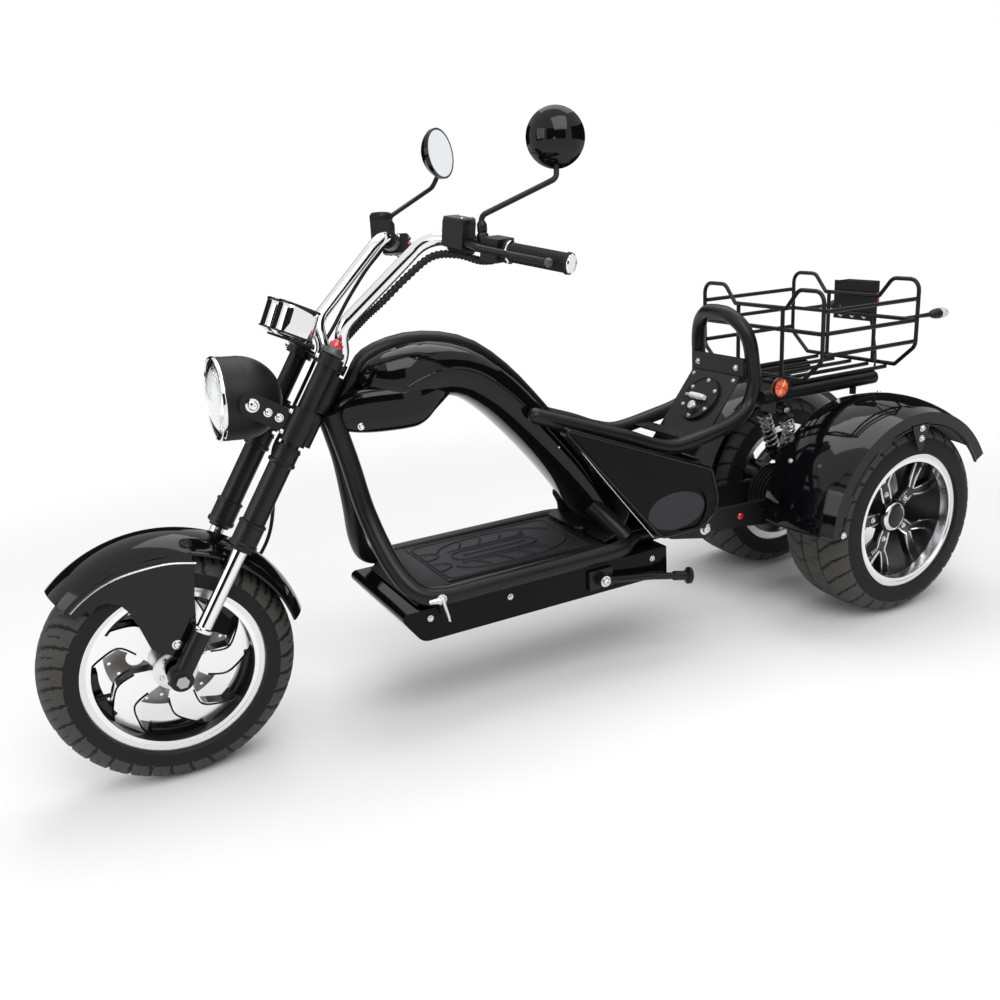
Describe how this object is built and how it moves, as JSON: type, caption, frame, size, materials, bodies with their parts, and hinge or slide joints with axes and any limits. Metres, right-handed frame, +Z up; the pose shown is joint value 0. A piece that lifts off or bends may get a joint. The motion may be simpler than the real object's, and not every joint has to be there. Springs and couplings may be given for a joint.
{
  "type": "motorized trike",
  "caption": "Black electric chopper trike: raked fork, high bars, arched body over a step-through deck, seat off, wide rear wheels and a rear basket.",
  "frame": {"origin": "on the floor under the middle of the vehicle's length and width", "axes": "+X forward, +Y to the rider's left, +Z up"},
  "size_m": [2.142, 0.7598, 1.1713],
  "materials": {
    "tyre": "matte rubber",
    "alloy": "machined and lacquered",
    "steel": "ground",
    "chrome": "polished",
    "gloss": "high gloss",
    "satin": "satin powder coat",
    "plastic": "moulded, fine grain",
    "rubber": "matte",
    "lens": "clear",
    "mirror": "polished",
    "amber": "prismatic"
  },
  "bodies": {
    "chassis": {"head_tube": "satin", "frame_tubes": "satin", "frame_brackets": "satin", "backbone": "satin", "arch_body": "gloss", "deck_tray": "plastic", "deck_mat": "rubber", "battery_box": "gloss", "battery": "plastic", "seat_panels": "gloss", "seat_well": "plastic", "seat_bracket": "satin", "seat_rails": "satin", "back_plates": "satin", "lock_plate": "satin", "swing_arm": "satin", "rear_axle": "satin", "shocks": "satin", "rear_fender_left": "gloss", "rear_fender_right": "gloss", "rack": "satin", "basket_front": "satin", "basket_rear": "satin", "basket_left": "satin", "basket_right": "satin", "basket_floor": "satin", "reflectors": "amber", "tail_lamp": "plastic", "turn_signals": "plastic"},
    "steering": {"front_axle": "steel", "fork_tubes": "satin", "fork_stanchions": "chrome", "fork_lugs": "satin", "triple_clamps": "satin", "brake_caliper": "satin", "front_fender": "gloss", "headlight_bucket": "plastic", "headlight_lens": "lens", "gauge_pods": "chrome", "risers": "chrome", "handlebar": "satin", "grips": "rubber", "brake_levers": "satin", "master_cylinders": "plastic", "switch_pods": "plastic", "mirror_stems": "satin", "mirrors": "plastic", "mirror_glass": "mirror"},
    "front_wheel": {"front_tyre": "tyre", "front_rim": "alloy", "front_disc": "steel"},
    "rear_wheel_left": {"rear_tyre_left": "tyre", "rear_rim_left": "alloy"},
    "rear_wheel_right": {"rear_tyre_right": "tyre", "rear_rim_right": "alloy"},
    "stand": {"side_stand": "satin"}
  },
  "joints": [
    {"name": "steer", "type": "hinge", "parent": "chassis", "child": "steering", "pos_m": [0.48252, 0, 0.68826], "axis": [-0.5519, 0, 0.8339], "range_deg": [-35, 35]},
    {"name": "front_spin", "type": "hinge", "parent": "steering", "child": "front_wheel", "pos_m": [0.841, 0, 0.23], "axis": [0, 1, 0], "continuous": true},
    {"name": "rear_left_spin", "type": "hinge", "parent": "chassis", "child": "rear_wheel_left", "pos_m": [-0.809, 0.22, 0.238], "axis": [0, 1, 0], "continuous": true},
    {"name": "rear_right_spin", "type": "hinge", "parent": "chassis", "child": "rear_wheel_right", "pos_m": [-0.809, -0.22, 0.238], "axis": [0, 1, 0], "continuous": true},
    {"name": "stand_swing", "type": "hinge", "parent": "chassis", "child": "stand", "pos_m": [-0.028, 0.1606, 0.232], "axis": [0, -1, 0], "range_deg": [0, 80]}
  ]
}
